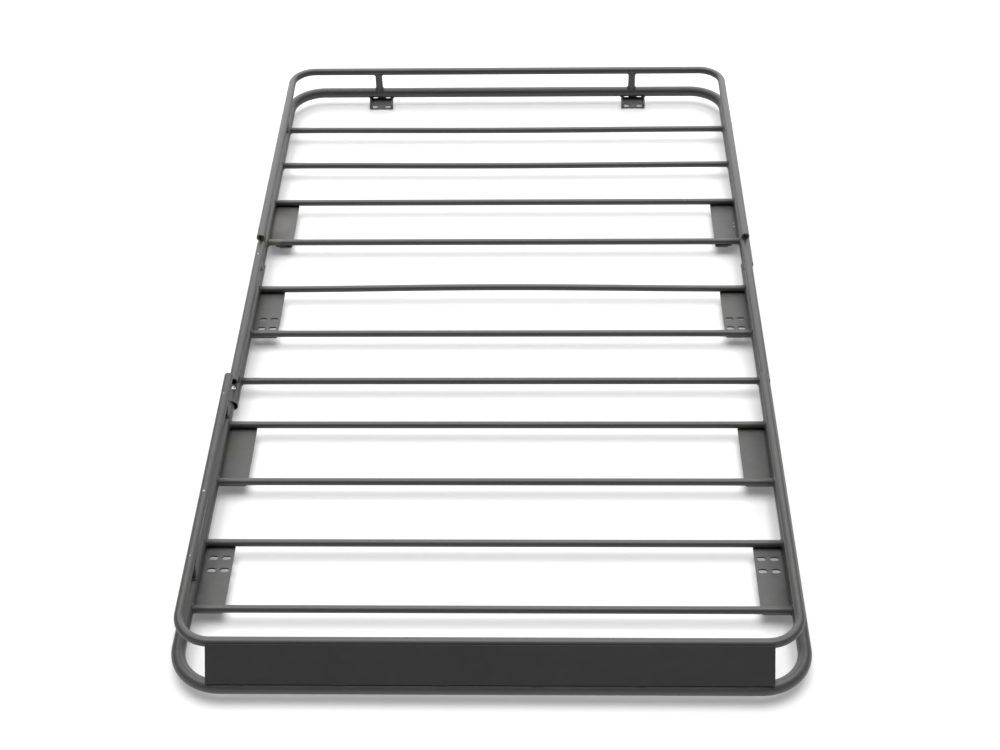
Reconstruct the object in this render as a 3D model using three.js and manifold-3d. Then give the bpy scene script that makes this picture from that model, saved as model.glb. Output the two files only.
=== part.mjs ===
// Roof cargo basket: a flat steel tube rack made of three bolted sections.
// Millimetres, +Z up, the front at -Y. Places along the rack are measured back from the front tube.
import * as THREE from "three";
import { mergeVertices } from "three/addons/utils/BufferGeometryUtils.js";
import Module from "manifold-3d";

const wasm = await Module();
wasm.setup();

const GAP = 0.3; // left between pieces that are welded together or touch

// Overall sizes
const RACK_WIDTH = 1350; // over the lower rails
const FRONT_LENGTH = 851; // front tube centreline to the first lower joint
const MIDDLE_LENGTH = 553; // first to second lower joint
const REAR_LENGTH = 866; // second lower joint to the rear tube centreline

// Tubes
const LOWER_TUBE = 30;
const LOWER_WALL = 2;
const UPPER_TUBE = 21.3;
const UPPER_WALL = 2;
const CROSS_TUBE = 17.2;
const CROSS_WALL = 1.5;
const POST_TUBE = 17.2;
const POST_WALL = 2;

// Rails
const LOWER_BEND = 100; // centreline radius of the corners
const FRONT_UPPER_BEND = 74;
const REAR_UPPER_BEND = 66;
const UPPER_HEIGHT = 75; // upper tube centre above the lower tube centre
const MIDDLE_DROP = 20; // the middle upper rails sit this much lower
const UPPER_INSET = 10; // upper side rails inboard of the lower ones
const FRONT_SETBACK = 58; // front upper tube behind the front lower tube
const MIDDLE_INSET = 4; // middle lower rails inboard of the others
const JOINT_STAGGER = 28; // upper rails meet this far behind the lower joints
const JOINT_GAP = 1;
const FRONT_SHIFT = -4; // play in the first joint: the front section sits to the left
const FRONT_UPPER_SHIFT = -3.5; // its upper rail is welded a little further left

// Crossbars
const END_BAY = 208; // front tube to the first crossbar, and the same at the rear
const BARS_PER_END = 4;
const MIDDLE_BARS = 3;
const FRONT_LAST = 67; // last front crossbar to the first lower joint
const MIDDLE_FIRST = 91; // that joint to the first middle crossbar
const MIDDLE_LAST = 99; // last middle crossbar to the second lower joint
const REAR_FIRST = 106; // that joint to the first rear crossbar

// Posts under the side rails, and between the rear tubes
const FRONT_POST_FRONT = 286; // from the front tube
const FRONT_POST_BACK = 48; // from the first lower joint
const MIDDLE_POST_END = 53; // from each end of a middle upper rail
const REAR_POST_FRONT = 50; // from the front end of the rear upper rail
const REAR_POST_BACK = 230; // from the rear tube
const REAR_TUBE_POST = 272; // inboard of the side rails
const REAR_TUBE_POST_SHIFT = -5; // both sit a little to the left

// Wind deflector
const DEFLECTOR_PAST_BEND = 26; // each end of the sheet past the start of the rail's corner
const DEFLECTOR_SHEET = 3;
const DEFLECTOR_LOW_GAP = 9; // bottom edge above the line where the sheet touches the lower tube
const DEFLECTOR_TOP_GAP = 3; // top edge below the line where it touches the upper tube

// Mounting plates under pairs of crossbars
const PLATE_WIDTH = 66; // the outer edge touches the lower rail
const PLATE_THICK = 4.8;
const PLATE_LAP = 2; // past the crossbar centreline
const PLATE_LONG_LAP = 9; // the same, at the front of the rearmost plates
const PLATE_CORNER = 4; // cut off each corner
const PLATE_LONG_CORNER = 34; // cut off the outer corner of the long lap
const SLOT_LENGTH = 20.5;
const SLOT_WIDTH = 12;
const SLOT_FROM_EDGE = 30; // inner edge of the plate to the middle of a slot pair
const SLOT_ACROSS = 29; // pitch across the plate
const SLOT_ALONG = 36; // pitch along it
const MIDDLE_SLOT_FROM_BAR = 32;
const FRONT_SLOT_FROM_BAR = 37;

// Rear foot brackets
const FOOT_WIDTH = 72;
const FOOT_SHEET = 4.8;
const FOOT_TILT = 24.8; // degrees, front edge down
const FOOT_BACK = 6; // behind the line where it touches the tube
const FOOT_FRONT = 48;
const FOOT_FLANGE = 12;
const FOOT_CORNER = 6;
const FOOT_SLOT_LENGTH = 17;
const FOOT_SLOT_WIDTH = 10;
const FOOT_SLOT_ACROSS = 39;
const FOOT_SLOT_ROWS = [5, 40.5];

// Joint sleeves, their screws and the end plugs
const SLEEVE_PLAY = 1; // all round, once the sections' sideways play is taken up
const SLEEVE_REACH = 65; // into each rail
const MIDDLE_SCREW = 47; // from the joint to the screw in the middle section
const END_SCREW = 28; // and to the screw in the front or rear section
const SCREW = 6;
const SCREW_HOLE = 6.8;
const SCREW_HEAD = 11;
const SCREW_HEAD_HIGH = 3.2;
const SCREW_LENGTH = 22;
const PLUG_LONG = 12;
const PLUG_RECESS = 1;
const PLUG_HOLE = 7;

const ROUND = 16; // sides of a small round section
const RAIL_ROUND = 20; // sides of a lower rail
const BEND_STEPS = 8; // per quarter turn
const SLOT_STEPS = 4; // round each end of a slot
const CORNER_STEPS = 3; // round a flange corner
const CUTTER_REACH = 60; // each way from the middle of a cutter
const WELD_DISTANCE = 1e-3; // vertices closer than this are one

const half = (RACK_WIDTH - LOWER_TUBE) / 2;
const middleHalf = half - MIDDLE_INSET;
const upperHalf = half - UPPER_INSET;
const middleUpperHeight = UPPER_HEIGHT - MIDDLE_DROP;
const firstJoint = FRONT_LENGTH;
const secondJoint = firstJoint + MIDDLE_LENGTH;
const rear = secondJoint + REAR_LENGTH;
const firstUpperJoint = firstJoint + JOINT_STAGGER;
const secondUpperJoint = secondJoint + JOINT_STAGGER;
const lowerRadius = LOWER_TUBE / 2;
const upperRadius = UPPER_TUBE / 2;
const crossRadius = CROSS_TUBE / 2;
const frontPitch = (FRONT_LENGTH - END_BAY - FRONT_LAST) / (BARS_PER_END - 1);
const middlePitch = (MIDDLE_LENGTH - MIDDLE_FIRST - MIDDLE_LAST) / (MIDDLE_BARS - 1);
const rearPitch = (REAR_LENGTH - REAR_FIRST - END_BAY) / (BARS_PER_END - 1);
const rearPost = half - REAR_TUBE_POST;
const deflectorWidth = 2 * (half - LOWER_BEND + DEFLECTOR_PAST_BEND);
const sidePlay = MIDDLE_INSET + Math.abs(FRONT_SHIFT);
const sleeveDiameter = LOWER_TUBE - 2 * LOWER_WALL - sidePlay - 2 * SLEEVE_PLAY;
const tilt = THREE.MathUtils.degToRad(FOOT_TILT);

const at = (x, y, z) => new THREE.Vector3(x, y, z);

// A path given by its stations: one step along each straight stretch, several round each bend.
class StationPath extends THREE.Curve {
  constructor(stations) {
    super();
    this.stations = stations;
  }
  station(u) {
    return this.stations[Math.round(u * (this.stations.length - 1))];
  }
  getPointAt(u) {
    return this.station(u).point.clone();
  }
  getTangentAt(u) {
    return this.station(u).tangent.clone();
  }
}

// A closed three.js geometry as a manifold solid.
function solid(geometry) {
  const flat = geometry.index ? geometry.toNonIndexed() : geometry;
  const bare = new THREE.BufferGeometry();
  bare.setAttribute("position", flat.getAttribute("position"));
  const merged = mergeVertices(bare, WELD_DISTANCE);
  return new wasm.Manifold(
    new wasm.Mesh({
      numProp: 3,
      vertProperties: merged.getAttribute("position").array,
      triVerts: new Uint32Array(merged.index.array),
    }),
  );
}

// A manifold solid as a named mesh in a group.
function piece(group, name, body, colour) {
  const mesh = body.getMesh();
  const geometry = new THREE.BufferGeometry();
  geometry.setAttribute("position", new THREE.BufferAttribute(mesh.vertProperties, mesh.numProp));
  geometry.setIndex(new THREE.BufferAttribute(mesh.triVerts, 1));
  const shown = geometry.toNonIndexed();
  shown.computeVertexNormals();
  const material = new THREE.MeshStandardMaterial({ color: colour, roughness: 0.55, metalness: 0.3 });
  const part = new THREE.Mesh(shown, material);
  part.name = name;
  group.add(part);
}

// A round section swept along stations, hollow when it has a wall.
function sweep(stations, diameter, wall, sides) {
  const section = new THREE.Shape();
  section.absarc(0, 0, diameter / 2, 0, 2 * Math.PI);
  if (wall) {
    const bore = new THREE.Path();
    bore.absarc(0, 0, diameter / 2 - wall, 0, 2 * Math.PI);
    section.holes.push(bore);
  }
  return solid(
    new THREE.ExtrudeGeometry(section, {
      extrudePath: new StationPath(stations),
      steps: stations.length - 1,
      curveSegments: sides / 2, // an arc is drawn with twice this number of sides
    }),
  );
}

function straight(from, to, diameter, wall = 0, sides = ROUND) {
  const tangent = to.clone().sub(from).normalize();
  return sweep([from, to].map((point) => ({ point, tangent })), diameter, wall, sides);
}

// A U of tube: up one side, across the end at `end`, and back down the other side to `open`.
function uRail({ side, end, open, height, bend, diameter, wall, sides }) {
  const way = Math.sign(open - end);
  const stations = [{ point: at(-side, open, height), tangent: at(0, -way, 0) }];
  const bends = [
    { x: bend - side, out: (a) => at(-Math.cos(a), -way * Math.sin(a), 0) },
    { x: side - bend, out: (a) => at(Math.sin(a), -way * Math.cos(a), 0) },
  ];
  for (const { x, out } of bends)
    for (let i = 0; i <= BEND_STEPS; i++) {
      const a = (i / BEND_STEPS) * (Math.PI / 2);
      const centre = at(x, end + way * bend, height);
      const point = centre.addScaledVector(out(a), bend);
      stations.push({ point, tangent: out(a + Math.PI / 2) });
    }
  stations.push({ point: at(side, open, height), tangent: at(0, way, 0) });
  return sweep(stations, diameter, wall, sides);
}

// A straight run of rail used as a cutter, a gap larger than the tube it stands for.
function cutter(centre, along, diameter) {
  const reach = along.clone().multiplyScalar(CUTTER_REACH);
  const wide = diameter + 2 * GAP;
  return straight(centre.clone().sub(reach), centre.clone().add(reach), wide, 0, RAIL_ROUND);
}

// A tube between two rails, its ends coped to fit round them.
function coped(from, to, along, diameter, wall, fromTube, toTube) {
  return straight(from, to, diameter, wall)
    .subtract(cutter(from, along, fromTube))
    .subtract(cutter(to, along, toTube));
}

const lengthwise = at(0, 1, 0);
const crosswise = at(1, 0, 0);

function drop(x, y, top, diameter, length) {
  return straight(at(x, y, top - length), at(x, y, top), diameter);
}

// Lower rails, with a hole in the top wall for each joint screw
function drilled(rail, places) {
  return places.reduce(
    (body, [x, y]) => body.subtract(drop(x, y, LOWER_TUBE, SCREW_HOLE, LOWER_TUBE)),
    rail,
  );
}

const root = new THREE.Group();
root.name = "roof_cargo_basket";
const front = new THREE.Group();
front.position.x = FRONT_SHIFT;
const middle = new THREE.Group();
const back = new THREE.Group();
root.add(front, middle, back);

const sides = [
  { word: "left", sign: -1 },
  { word: "right", sign: 1 },
];
const DARK = 0x3f4144;
const STEEL = 0x55585b;
const ZINC = 0xb9bcc0;

const frontScrews = sides.map(({ sign }) => [sign * half, firstJoint - END_SCREW]);
const rearScrews = sides.map(({ sign }) => [sign * half, secondJoint + END_SCREW]);
const lowerTube = { diameter: LOWER_TUBE, wall: LOWER_WALL, sides: RAIL_ROUND };
const upperTube = { diameter: UPPER_TUBE, wall: UPPER_WALL, sides: ROUND };

const frontLower = uRail({
  side: half,
  end: 0,
  open: firstJoint - JOINT_GAP / 2,
  height: 0,
  bend: LOWER_BEND,
  ...lowerTube,
});
piece(front, "front_lower_rail", drilled(frontLower, frontScrews), STEEL);
const rearLower = uRail({
  side: half,
  end: rear,
  open: secondJoint + JOINT_GAP / 2,
  height: 0,
  bend: LOWER_BEND,
  ...lowerTube,
});
piece(back, "rear_lower_rail", drilled(rearLower, rearScrews), STEEL);

// Upper rails
const frontUpper = uRail({
  side: upperHalf,
  end: FRONT_SETBACK,
  open: firstUpperJoint - JOINT_GAP / 2,
  height: UPPER_HEIGHT,
  bend: FRONT_UPPER_BEND,
  ...upperTube,
});
piece(front, "front_upper_rail", frontUpper.translate([FRONT_UPPER_SHIFT, 0, 0]), STEEL);
const rearUpper = uRail({
  side: upperHalf,
  end: rear,
  open: secondUpperJoint + JOINT_GAP / 2,
  height: UPPER_HEIGHT,
  bend: REAR_UPPER_BEND,
  ...upperTube,
});
piece(back, "rear_upper_rail", rearUpper, STEEL);

for (const { word, sign } of sides) {
  const x = sign * middleHalf;
  const lower = straight(
    at(x, firstJoint + JOINT_GAP / 2, 0),
    at(x, secondJoint - JOINT_GAP / 2, 0),
    LOWER_TUBE,
    LOWER_WALL,
    RAIL_ROUND,
  );
  const screws = [
    [x, firstJoint + MIDDLE_SCREW],
    [x, secondJoint - MIDDLE_SCREW],
  ];
  piece(middle, `middle_lower_rail_${word}`, drilled(lower, screws), STEEL);
  const upper = straight(
    at(sign * upperHalf, firstUpperJoint + JOINT_GAP / 2, middleUpperHeight),
    at(sign * upperHalf, secondUpperJoint - JOINT_GAP / 2, middleUpperHeight),
    UPPER_TUBE,
    UPPER_WALL,
  );
  piece(middle, `middle_upper_rail_${word}`, upper, STEEL);
}

// Crossbars, numbered from the rear
const bars = [];
for (let i = 0; i < BARS_PER_END; i++)
  bars.push({ group: back, side: half, y: rear - END_BAY - i * rearPitch });
for (let i = MIDDLE_BARS - 1; i >= 0; i--)
  bars.push({ group: middle, side: middleHalf, y: firstJoint + MIDDLE_FIRST + i * middlePitch });
for (let i = BARS_PER_END - 1; i >= 0; i--)
  bars.push({ group: front, side: half, y: END_BAY + i * frontPitch });
bars.forEach(({ group, side, y }, i) => {
  const body = coped(
    at(-side, y, 0),
    at(side, y, 0),
    lengthwise,
    CROSS_TUBE,
    CROSS_WALL,
    LOWER_TUBE,
    LOWER_TUBE,
  );
  piece(group, `crossbar_${String(i + 1).padStart(2, "0")}`, body, STEEL);
});

// Posts between the lower and upper side rails
const sidePosts = [
  ...[FRONT_POST_FRONT, firstJoint - FRONT_POST_BACK].map((y, i) => ({
    group: front,
    name: `front_post_${i + 1}`,
    y,
    side: half,
    height: UPPER_HEIGHT,
    shift: FRONT_UPPER_SHIFT,
  })),
  ...[firstUpperJoint + MIDDLE_POST_END, secondUpperJoint - MIDDLE_POST_END].map((y, i) => ({
    group: middle,
    name: `middle_post_${i + 1}`,
    y,
    side: middleHalf,
    height: middleUpperHeight,
    shift: 0,
  })),
  ...[secondUpperJoint + REAR_POST_FRONT, rear - REAR_POST_BACK].map((y, i) => ({
    group: back,
    name: `rear_side_post_${i + 1}`,
    y,
    side: half,
    height: UPPER_HEIGHT,
    shift: 0,
  })),
];
for (const { group, name, y, side, height, shift } of sidePosts)
  for (const { word, sign } of sides) {
    const foot = at(sign * side, y, 0);
    const head = at(sign * upperHalf + shift, y, height);
    const body = coped(foot, head, lengthwise, POST_TUBE, POST_WALL, LOWER_TUBE, UPPER_TUBE);
    piece(group, `${name}_${word}`, body, STEEL);
  }
for (const { word, sign } of sides) {
  const x = sign * rearPost + REAR_TUBE_POST_SHIFT;
  const foot = at(x, rear, 0);
  const head = at(x, rear, UPPER_HEIGHT);
  const body = coped(foot, head, crosswise, UPPER_TUBE, UPPER_WALL, LOWER_TUBE, UPPER_TUBE);
  piece(back, `rear_post_${word}`, body, STEEL);
}

// Wind deflector: a flat sheet that touches the front of both front tubes
const slope = at(0, FRONT_SETBACK, UPPER_HEIGHT);
const between = slope.length();
slope.normalize();
const ahead = at(0, -slope.z, slope.y); // square to the line of centres, forward and up
const lean = (lowerRadius - upperRadius) / between;
const outward = ahead.clone().multiplyScalar(Math.sqrt(1 - lean * lean)).addScaledVector(slope, lean);
const upSheet = at(0, outward.z, -outward.y);
const touchLow = outward.clone().multiplyScalar(lowerRadius + GAP);
const touchSpan = between * Math.sqrt(1 - lean * lean);
const sheetHigh = touchSpan - DEFLECTOR_LOW_GAP - DEFLECTOR_TOP_GAP;
const sheet = new THREE.BoxGeometry(deflectorWidth, sheetHigh, DEFLECTOR_SHEET);
sheet.translate(0, DEFLECTOR_LOW_GAP + sheetHigh / 2, DEFLECTOR_SHEET / 2);
sheet.applyMatrix4(new THREE.Matrix4().makeBasis(crosswise, upSheet, outward).setPosition(touchLow));
piece(front, "wind_deflector", solid(sheet), DARK);

// A slot outline, its long way across the plate
function slot(x, y, length, width) {
  const path = new THREE.Path();
  const straightHalf = (length - width) / 2;
  path.absarc(x + straightHalf, y, width / 2, -Math.PI / 2, Math.PI / 2);
  path.absarc(x - straightHalf, y, width / 2, Math.PI / 2, (3 * Math.PI) / 2);
  return path;
}

function slotPair(x, y, across, length, width) {
  return [-across / 2, across / 2].map((dx) => slot(x + dx, y, length, width));
}

// Mounting plates, counted from the rear: each lies under two crossbars beside the lower rail
const plates = [
  { group: back, rearBar: 2, frontBar: 3, long: true },
  { group: middle, rearBar: 4, frontBar: 5, slotsAhead: MIDDLE_SLOT_FROM_BAR },
  { group: front, rearBar: 7, frontBar: 8 },
  { group: front, rearBar: 9, frontBar: 10, slotsBehind: FRONT_SLOT_FROM_BAR },
];
const plateTop = crossRadius + GAP; // below the rail's centreline
const railBeside = Math.sqrt((lowerRadius + GAP) ** 2 - plateTop ** 2);
plates.forEach(({ group, rearBar, frontBar, long, slotsAhead, slotsBehind }, i) => {
  const outer = bars[rearBar].side - railBeside;
  const inner = outer - PLATE_WIDTH;
  const low = bars[frontBar].y - (long ? PLATE_LONG_LAP : PLATE_LAP);
  const corner = long ? PLATE_LONG_CORNER : PLATE_CORNER;
  const high = bars[rearBar].y + PLATE_LAP;
  const rows = [];
  for (const along of [0, SLOT_ALONG]) {
    if (slotsAhead) rows.push(bars[frontBar].y + slotsAhead + along);
    if (slotsBehind) rows.push(bars[rearBar].y - slotsBehind - along);
  }
  for (const { word, sign } of sides) {
    const outline = new THREE.Shape(
      [
        [inner + PLATE_CORNER, low],
        [outer - corner, low],
        [outer, low + corner],
        [outer, high - PLATE_CORNER],
        [outer - PLATE_CORNER, high],
        [inner + PLATE_CORNER, high],
        [inner, high - PLATE_CORNER],
        [inner, low + PLATE_CORNER],
      ].map(([x, y]) => new THREE.Vector2(sign * x, y)),
    );
    for (const y of rows) {
      const x = sign * (inner + SLOT_FROM_EDGE);
      outline.holes.push(...slotPair(x, y, SLOT_ACROSS, SLOT_LENGTH, SLOT_WIDTH));
    }
    const blank = new THREE.ExtrudeGeometry(outline, {
      depth: PLATE_THICK,
      bevelEnabled: false,
      curveSegments: SLOT_STEPS,
    });
    blank.translate(0, 0, -plateTop - PLATE_THICK);
    piece(group, `mount_plate_${i + 1}_${word}`, solid(blank), STEEL);
  }
});

// Rear foot brackets: a slotted floor with two upturned flanges, tilted, welded under the rear tube
const footDown = at(0, -Math.cos(tilt), -Math.sin(tilt));
const footUp = at(0, -Math.sin(tilt), Math.cos(tilt));
for (const { word, sign } of sides) {
  const floor = new THREE.Shape([
    new THREE.Vector2(-FOOT_WIDTH / 2, -FOOT_BACK),
    new THREE.Vector2(FOOT_WIDTH / 2, -FOOT_BACK),
    new THREE.Vector2(FOOT_WIDTH / 2, FOOT_FRONT),
    new THREE.Vector2(-FOOT_WIDTH / 2, FOOT_FRONT),
  ]);
  for (const y of FOOT_SLOT_ROWS)
    floor.holes.push(...slotPair(0, y, FOOT_SLOT_ACROSS, FOOT_SLOT_LENGTH, FOOT_SLOT_WIDTH));
  const flat = new THREE.ExtrudeGeometry(floor, {
    depth: FOOT_SHEET,
    bevelEnabled: false,
    curveSegments: SLOT_STEPS,
  });
  flat.translate(0, 0, -FOOT_SHEET);
  const cheek = new THREE.Shape();
  cheek.moveTo(-FOOT_BACK, -FOOT_SHEET);
  cheek.lineTo(FOOT_FRONT, -FOOT_SHEET);
  cheek.absarc(FOOT_FRONT - FOOT_CORNER, FOOT_FLANGE - FOOT_CORNER, FOOT_CORNER, 0, Math.PI / 2);
  cheek.lineTo(-FOOT_BACK, FOOT_FLANGE);
  const flange = new THREE.ExtrudeGeometry(cheek, {
    depth: FOOT_SHEET,
    bevelEnabled: false,
    curveSegments: CORNER_STEPS,
  });
  // the flange outline is drawn along the bracket and upwards: stand it on the floor's edge
  flange.applyMatrix4(new THREE.Matrix4().makeBasis(at(0, 1, 0), at(0, 0, 1), at(1, 0, 0)));
  const wall = solid(flange);
  const channel = solid(flat)
    .add(wall.translate([-FOOT_WIDTH / 2, 0, 0]))
    .add(wall.translate([FOOT_WIDTH / 2 - FOOT_SHEET, 0, 0]));
  const placed = channel.transform(
    new THREE.Matrix4()
      .makeBasis(at(-1, 0, 0), footDown, footUp)
      .setPosition(footUp.clone().multiplyScalar(-lowerRadius - GAP)).elements,
  );
  const body = placed
    .subtract(cutter(at(0, 0, 0), crosswise, LOWER_TUBE))
    .translate([sign * rearPost, rear, 0]);
  piece(back, `rear_foot_bracket_${word}`, body, STEEL);
}

// Joint sleeves inside the lower rails, and the screws that hold them
const joints = [
  { name: "front", y: firstJoint, x: (sign) => sign * half + FRONT_SHIFT, ahead: -1 },
  { name: "rear", y: secondJoint, x: (sign) => sign * half, ahead: 1 },
];
for (const { name, y, x, ahead: way } of joints)
  for (const { word, sign } of sides) {
    const endX = x(sign);
    const middleX = sign * middleHalf;
    const centre = (endX + middleX) / 2;
    const screws = [
      [endX, y + way * END_SCREW],
      [middleX, y - way * MIDDLE_SCREW],
    ];
    const ends = [at(centre, y - SLEEVE_REACH, 0), at(centre, y + SLEEVE_REACH, 0)];
    const sleeve = screws.reduce(
      (body, [sx, sy]) => body.subtract(drop(sx, sy, lowerRadius, SCREW_HOLE, LOWER_TUBE)),
      straight(...ends, sleeveDiameter),
    );
    piece(root, `${name}_sleeve_${word}`, sleeve, DARK);
    screws.forEach(([sx, sy], i) => {
      const seat = lowerRadius + GAP;
      const head = drop(sx, sy, seat + SCREW_HEAD_HIGH, SCREW_HEAD, SCREW_HEAD_HIGH);
      const shank = drop(sx, sy, seat + SCREW_HEAD_HIGH / 2, SCREW, SCREW_LENGTH);
      piece(root, `${name}_joint_screw_${i + 1}_${word}`, head.add(shank), ZINC);
    });
  }

// Plugs in the open front ends of the rear upper rail
for (const { word, sign } of sides) {
  const x = sign * upperHalf;
  const start = secondUpperJoint + JOINT_GAP / 2 + PLUG_RECESS;
  const ends = [at(x, start, UPPER_HEIGHT), at(x, start + PLUG_LONG, UPPER_HEIGHT)];
  const body = straight(...ends, UPPER_TUBE - 2 * UPPER_WALL - 2 * GAP).subtract(
    cutter(at(x, start, UPPER_HEIGHT), lengthwise, PLUG_HOLE),
  );
  piece(back, `upper_rail_plug_${word}`, body, DARK);
}

// Origin under the middle of the rack, at the lowest edge of the foot brackets
const footDepth = FOOT_FRONT * Math.sin(tilt) + (lowerRadius + GAP + FOOT_SHEET) * Math.cos(tilt);
root.position.set(-FRONT_SHIFT / 2, -rear / 2, footDepth);

export default root;
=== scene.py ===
# Roof cargo basket: three bolted sections of welded and powder-coated round steel tube, with a
# raised side rail, crossbars, welded mounting plates and a slanted wind deflector in front.
# Metres, +Z up, the front at -Y.
import math

import bmesh
import bpy
from mathutils import Matrix, Vector


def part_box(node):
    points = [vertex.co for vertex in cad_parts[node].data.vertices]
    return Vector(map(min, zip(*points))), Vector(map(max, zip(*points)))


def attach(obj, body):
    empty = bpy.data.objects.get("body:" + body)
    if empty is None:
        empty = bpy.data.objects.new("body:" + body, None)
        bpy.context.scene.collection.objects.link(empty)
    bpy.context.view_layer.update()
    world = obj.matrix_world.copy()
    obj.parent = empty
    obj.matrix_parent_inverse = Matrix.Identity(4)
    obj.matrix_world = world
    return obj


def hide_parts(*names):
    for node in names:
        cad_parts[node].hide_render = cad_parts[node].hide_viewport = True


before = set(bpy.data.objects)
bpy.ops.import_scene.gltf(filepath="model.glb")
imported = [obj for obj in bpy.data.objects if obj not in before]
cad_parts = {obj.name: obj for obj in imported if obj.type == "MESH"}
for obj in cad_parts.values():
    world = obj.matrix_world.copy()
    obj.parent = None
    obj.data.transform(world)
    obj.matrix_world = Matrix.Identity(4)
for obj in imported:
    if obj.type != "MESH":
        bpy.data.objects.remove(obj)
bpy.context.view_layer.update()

# ---------------------------------------------------------------- lower rails of the end sections
# Two lengths of 30 mm round steel tube with a 2 mm wall, each bent cold to a U with 100 mm
# corners. The open ends are drilled on top for the joint screws. The whole section is powder
# coated after welding: satin charcoal with a slight orange peel and a few nicks.
RAIL_RADIUS = 0.015
RAIL_WALL = 0.002
RAIL_BEND = 0.1
SCREW_HOLE_RADIUS = 0.0034
HOLE_MARGIN = 0.009  # from a hole's middle to the rings before and after it
RIM_EASE = 0.0004  # bevel on a tube's cut rims
RING_SIDES = 48
BEND_STEPS = 24
CHARCOAL = (0.048, 0.048, 0.047, 1)
CHARCOAL_WORN = (0.054, 0.054, 0.053, 1)
BARE_STEEL = (0.45, 0.45, 0.44, 1)
DUST = (0.24, 0.235, 0.22, 1)
# small light spots in the bare-steel colour on the front and middle upper rails, and scorched coat
# by one weld of the fourth crossbar: place and radius
LIGHT_SPOTS = [
    ((-0.6556, -0.8495, 0.1240), 0.0018),
    ((-0.6552, -0.6545, 0.1240), 0.0030),
    ((-0.6568, -0.3298, 0.1240), 0.0020),
    ((-0.6488, 0.2408, 0.1040), 0.0026),
]
SCORCHED = [((-0.625, 0.372, 0.047), 0.024, (0.13, 0.125, 0.095, 1))]


class Shade:
    """A value in a material's node tree. Sums and products of shades add their own Math nodes."""

    def __init__(self, tree, socket=None):
        self.tree = tree
        self.socket = socket

    def node(self, kind, settings=None, inputs=None, out=0):
        made = self.tree.nodes.new(kind)
        settings = dict(settings or {})
        stops = settings.pop("stops", [])
        for key, value in settings.items():
            setattr(made, key, value)
        for i, (place, colour) in enumerate(stops):
            elements = made.color_ramp.elements
            stop = elements[i] if i < len(elements) else elements.new(place)
            stop.position, stop.color = place, colour
        for key, value in (inputs or {}).items():
            if isinstance(value, Shade):
                self.tree.links.new(value.socket, made.inputs[key])
            else:
                made.inputs[key].default_value = value
        return Shade(self.tree, made.outputs[out])

    def math(self, operation, *values):
        return self.node("ShaderNodeMath", {"operation": operation}, dict(enumerate(values)))

    def __add__(self, other):
        return self.math("ADD", self, other)

    def __sub__(self, other):
        return self.math("SUBTRACT", self, other)

    def __rsub__(self, other):
        return self.math("SUBTRACT", other, self)

    def __mul__(self, other):
        return self.math("MULTIPLY", self, other)

    __radd__ = __add__
    __rmul__ = __mul__


def blank_material(name):
    """A new material with an empty Principled shader: returns it, a shade to build on, the shader."""
    material = bpy.data.materials.new(name)
    material.use_nodes = True
    tree = material.node_tree
    return material, Shade(tree), tree.nodes["Principled BSDF"]


def mix(factor, first, second):
    shades = {"Factor": factor, 6: first, 7: second}
    return factor.node("ShaderNodeMix", {"data_type": "RGBA"}, shades, out=2)


def smooth_step(value, start, end):
    """0 below start, 1 above end; start may be the larger."""
    steps = {"Value": value, "From Min": start, "From Max": end}
    return value.node("ShaderNodeMapRange", {"interpolation_type": "SMOOTHSTEP"}, steps)


def noise(shade, place, scale, detail=2.0, rough=0.5):
    values = {"Vector": place, "Scale": scale, "Detail": detail, "Roughness": rough}
    return shade.node("ShaderNodeTexNoise", None, values)


def distance(place, centre):
    pair = {0: place, 1: centre}
    return place.node("ShaderNodeVectorMath", {"operation": "DISTANCE"}, pair, "Value")


def powder_coat(name, colour, worn, roughness, peel, light_spots=(), tints=()):
    """Powder coat on steel: slightly cloudy in tone, orange peel all over, a little dust on what
    faces up, soft patches of another tint, bright nicks down to the metal and listed light spots."""
    material, shade, shader = blank_material(name)
    place = shade.node("ShaderNodeTexCoord", out="Object")
    clouds = noise(shade, place, 5.0, 4.0)
    streaks = noise(shade, place, 38.0, 3.0, 0.6)
    peel_height = noise(shade, place, 430.0, 1.5)
    grain = noise(shade, place, 1700.0, 1.0)
    facing = shade.node("ShaderNodeNewGeometry", out="Normal")
    up = shade.node("ShaderNodeSeparateXYZ", None, {0: facing}, out="Z")
    dust = smooth_step(up, 0.55, 1.0) * smooth_step(streaks, 0.42, 0.7) * 0.05
    tone = smooth_step(clouds + 0.35 * streaks, 0.45, 0.85) * 0.8 + 0.2 * grain
    coat = mix(tone, colour, worn)
    coat = mix(dust, coat, DUST)
    for centre, radius, tint in tints:
        coat = mix(smooth_step(distance(place, centre), radius, 0.3 * radius) * 0.8, coat, tint)
    cells = shade.node("ShaderNodeTexVoronoi", None, {"Vector": place, "Scale": 34.0}, "Distance")
    rare = smooth_step(noise(shade, place, 11.0, 1.0), 0.66, 0.68)
    chipped = smooth_step(cells + 0.03 * streaks, 0.055, 0.04) * rare
    for centre, radius in light_spots:
        ragged = distance(place, centre) + 0.0012 * (noise(shade, place, 600.0, 2.0) - 0.5)
        chipped = chipped.math("MAXIMUM", chipped, smooth_step(ragged, radius, radius - 0.0008))
    shade.tree.links.new(mix(chipped, coat, BARE_STEEL).socket, shader.inputs["Base Color"])
    gloss = roughness + 0.06 * (clouds - 0.5) + 0.06 * (streaks - 0.5) + dust
    shade.tree.links.new(gloss.socket, shader.inputs["Roughness"])
    height = peel_height + 0.35 * grain - 0.6 * chipped
    bumped = shade.node(
        "ShaderNodeBump", None, {"Strength": peel, "Distance": 0.00022, "Height": height}
    )
    shade.tree.links.new(bumped.socket, shader.inputs["Normal"])
    shader.inputs["Specular IOR Level"].default_value = 0.5
    return material


tube_coat = powder_coat("charcoal_coat", CHARCOAL, CHARCOAL_WORN, 0.42, 0.5, LIGHT_SPOTS, SCORCHED)


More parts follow.
